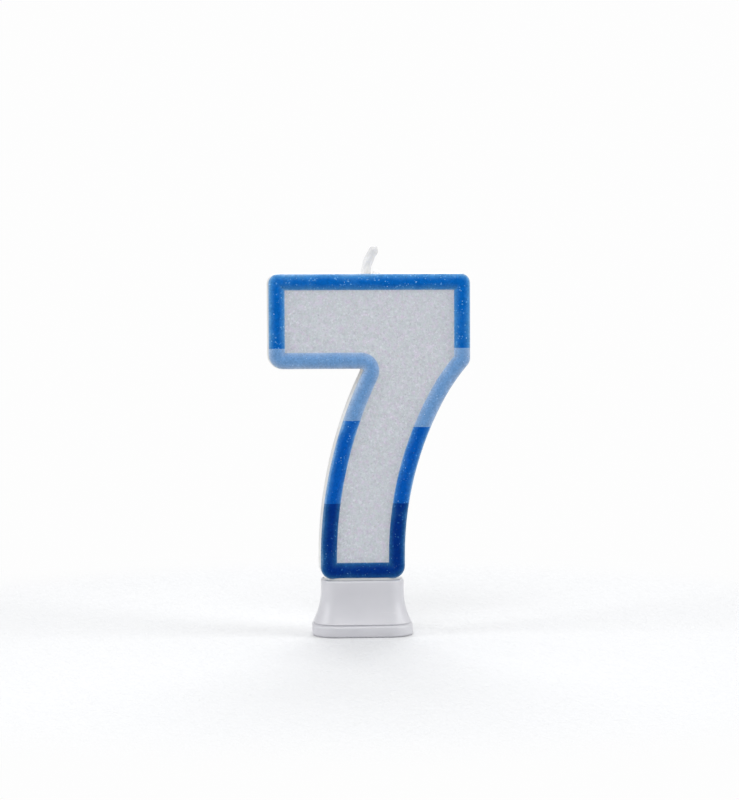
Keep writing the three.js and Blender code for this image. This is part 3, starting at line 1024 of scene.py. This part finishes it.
def makeBowl():
    bm = bmesh.new()
    top, floor, root = numeral["top"], numeral["top"] - pool["depth"], wick["radius"] * pool["root"]
    rows = []
    for step in range(1, pool["steps"] + 1):
        share = step / pool["steps"]
        rows.append((root + (pool["radius"] - root) * share ** pool["curve"], floor + pool["depth"] * share))
    past = pool["past"]
    rows += [(pool["radius"] + past.x, top + past.y), (0.0, top + past.y)]
    tip = bmesh.ops.create_vert(bm, co=(wickRoot.x, wickRoot.y, floor))["vert"][0]
    for reach, z in rows:
        tip = lineTo(bm, tip, wickRoot.x + reach, z)
    bmesh.ops.spin(
        bm, geom=bm.verts[:] + bm.edges[:], cent=wickRoot, axis=(0, 0, 1), dvec=(0, 0, 0),
        angle=2 * math.pi, steps=pool["sides"], use_merge=True,
    )
    bmesh.ops.remove_doubles(bm, verts=bm.verts, dist=0.001 * mm)
    return finishMesh("bowl", bm, whiteWax)


def cutPool():
    fuse(waxCasting, makeChannel(), "DIFFERENCE")
    fuse(waxCasting, makeBowl(), "DIFFERENCE")


cutPool()
addLobe()
shadeSmooth(waxCasting.data)
print("melt pool cut:", len(waxCasting.data.polygons), "faces")

# loose flakes that stand in the surface of the gel and of the face

flakes = {
    "flakes_top_blue": {
        "on": ["bead_top_blue"], "gel": "royalBlue", "slot": "royal_blue_glitter", "count": 150,
    },
    "flakes_sky": {
        "on": ["bead_sky_left", "bead_sky_right"], "gel": "skyBlue", "slot": "sky_blue_glitter", "count": 80,
    },
    "flakes_mid": {
        "on": ["bead_mid_left", "bead_mid_right"], "gel": "midBlue", "slot": "mid_blue_glitter", "count": 90,
    },
    "flakes_navy": {"on": ["bead_navy_foot"], "gel": "navy", "slot": "navy_glitter", "count": 100},
}
flakeCut = {
    "small": 0.05 * mm,
    "large": 0.12 * mm,
    "thick": 0.03 * mm,
    "tilt": 0.3,
    "stand": 0.1,  # how far out it stands, as a share of its size
    "facing": 0.2,  # how squarely the surface under it has to look forwards
}
faceFlakes = {"count": 1500, "seed": 11, "small": 0.06 * mm, "large": 0.13 * mm}


def scatterFlakes(name, sources, count, material, seed, small, large):
    chance = random.Random(seed)
    spots, areas = [], []
    for source in sources:
        mesh = source.data
        mesh.calc_loop_triangles()
        for tri in mesh.loop_triangles:
            if tri.normal.y < -flakeCut["facing"]:
                spots.append(([mesh.vertices[index].co.copy() for index in tri.vertices], tri.normal.copy()))
                areas.append(tri.area)
    bm = bmesh.new()
    tone = bm.verts.layers.float.new("flakeTone")
    for (a, b, c), normal in chance.choices(spots, areas, k=count):
        u, v = chance.random(), chance.random()
        if u + v > 1:
            u, v = 1 - u, 1 - v
        lean = normal + Vector([chance.gauss(0, flakeCut["tilt"]) for _ in range(3)])
        turn = lean.to_track_quat("Z", "Y") @ Quaternion((0, 0, 1), chance.uniform(0, math.pi))
        size = chance.uniform(small, large)
        place = a + (b - a) * u + (c - a) * v + normal * size * flakeCut["stand"]
        made = bmesh.ops.create_cone(
            bm, cap_ends=True, cap_tris=False, segments=6, radius1=size, radius2=size,
            depth=flakeCut["thick"], matrix=Matrix.LocRotScale(place, turn, None),
        )["verts"]
        value = chance.random()
        for vert in made:
            vert[tone] = value
    piece = finishMesh(name, bm, material, sharp=20)
    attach(piece, "candle")
    return piece


for seed, (name, look) in enumerate(flakes.items()):
    gel = gels[look["gel"]]
    stops = [(0.0, gel["thick"]), (0.45, gel["thin"]), (0.8, gel["fleck"]), (1.0, gel["bright"])]
    material = flakeMaterial(look["gel"] + "Flakes", stops, flakeFinish["roughness"], flakeFinish["specular"])
    scatterFlakes(
        name, [beads[bead] for bead in look["on"]], look["count"], material, seed,
        flakeCut["small"], flakeCut["large"],
    )
scatterFlakes(
    "flakes_face", [facePanel], faceFlakes["count"], whiteFlakes, faceFlakes["seed"],
    faceFlakes["small"], faceFlakes["large"],
)
print("flakes scattered")

# floor, light and background

studio = {
    "ambient": 0.42,
    "background": 0.985,
    "floorReach": 0.16,
    "floorFade": (0.095, 0.135),
    "floorGrit": 1.2 * mm,
    "floorTint": (0.72, 0.725, 0.735),
}
lamps = {
    "overhead": {"at": (0.0, 0.10, 0.62), "aim": (0, 0, 0), "size": 0.55, "power": 0.9},
    "left": {"at": (-0.55, -0.16, 0.26), "aim": (0, 0, 0.055), "size": 0.40, "power": 1.5},
    "right": {"at": (0.55, -0.16, 0.26), "aim": (0, 0, 0.055), "size": 0.40, "power": 1.85},
    "front": {"at": (-0.04, -0.19, 0.27), "aim": (0, 0, 0.06), "size": 0.16, "power": 0.29},
    "behind": {"at": (0.05, 0.50, 0.36), "aim": (0, 0, 0.02), "size": 0.40, "power": 1.7},
}


def makeFloor():
    bm = bmesh.new()
    bmesh.ops.create_grid(bm, x_segments=4, y_segments=4, size=studio["floorReach"])
    material, tree, surface = newMaterial("paleFloor")
    place = add(tree, "TexCoord").outputs["Object"]
    away = add(tree, "VectorMath", {"operation": "LENGTH"}, {0: place}).outputs["Value"]
    near, far = studio["floorFade"]
    run = {"Value": away, "From Min": near, "From Max": far}
    fade = add(tree, "MapRange", {"interpolation_type": "SMOOTHSTEP"}, run)
    grit = useGroup(tree, castSurface, wave=140.0, grain=900.0, grainShare=0.5)
    tree.links.new(bump(tree, grit["height"], studio["floorGrit"], 0.5), surface.inputs["Normal"])
    surface.inputs["Base Color"].default_value = (*studio["floorTint"], 1)
    surface.inputs["Roughness"].default_value = 0.9
    surface.inputs["Specular IOR Level"].default_value = 0.1
    glow = add(tree, "Emission", None, {"Color": (1, 1, 1, 1), "Strength": studio["background"]})
    mixed = add(tree, "MixShader", None, {0: fade.outputs[0], 1: surface.outputs[0], 2: glow.outputs[0]})
    tree.links.new(mixed.outputs[0], tree.nodes["Material Output"].inputs["Surface"])
    finishMesh("floor", bm, material)


def makeWorld():
    world = bpy.data.worlds.new("studio")
    scene.world = world
    world.use_nodes = True
    tree = world.node_tree
    tree.nodes.clear()
    seen = add(tree, "LightPath").outputs["Is Camera Ray"]
    strength = spread(tree, seen, studio["ambient"], studio["background"])
    glow = add(tree, "Background", None, {"Color": (1, 1, 1, 1), "Strength": strength})
    out = add(tree, "OutputWorld")
    tree.links.new(glow.outputs[0], out.inputs["Surface"])
    scene.view_settings.view_transform = "Standard"


def makeLamp(name, look):
    data = bpy.data.lights.new(name, "AREA")
    data.shape = "DISK"
    data.size = look["size"]
    data.energy = look["power"]
    lamp = bpy.data.objects.new(name, data)
    scene.collection.objects.link(lamp)
    lamp.location = look["at"]
    lamp.rotation_mode = "QUATERNION"
    lamp.rotation_quaternion = (Vector(look["aim"]) - Vector(look["at"])).to_track_quat("-Z", "Y")


makeFloor()
makeWorld()
for name, look in lamps.items():
    makeLamp(name, look)
print("studio lit with", len(lamps), "lamps")
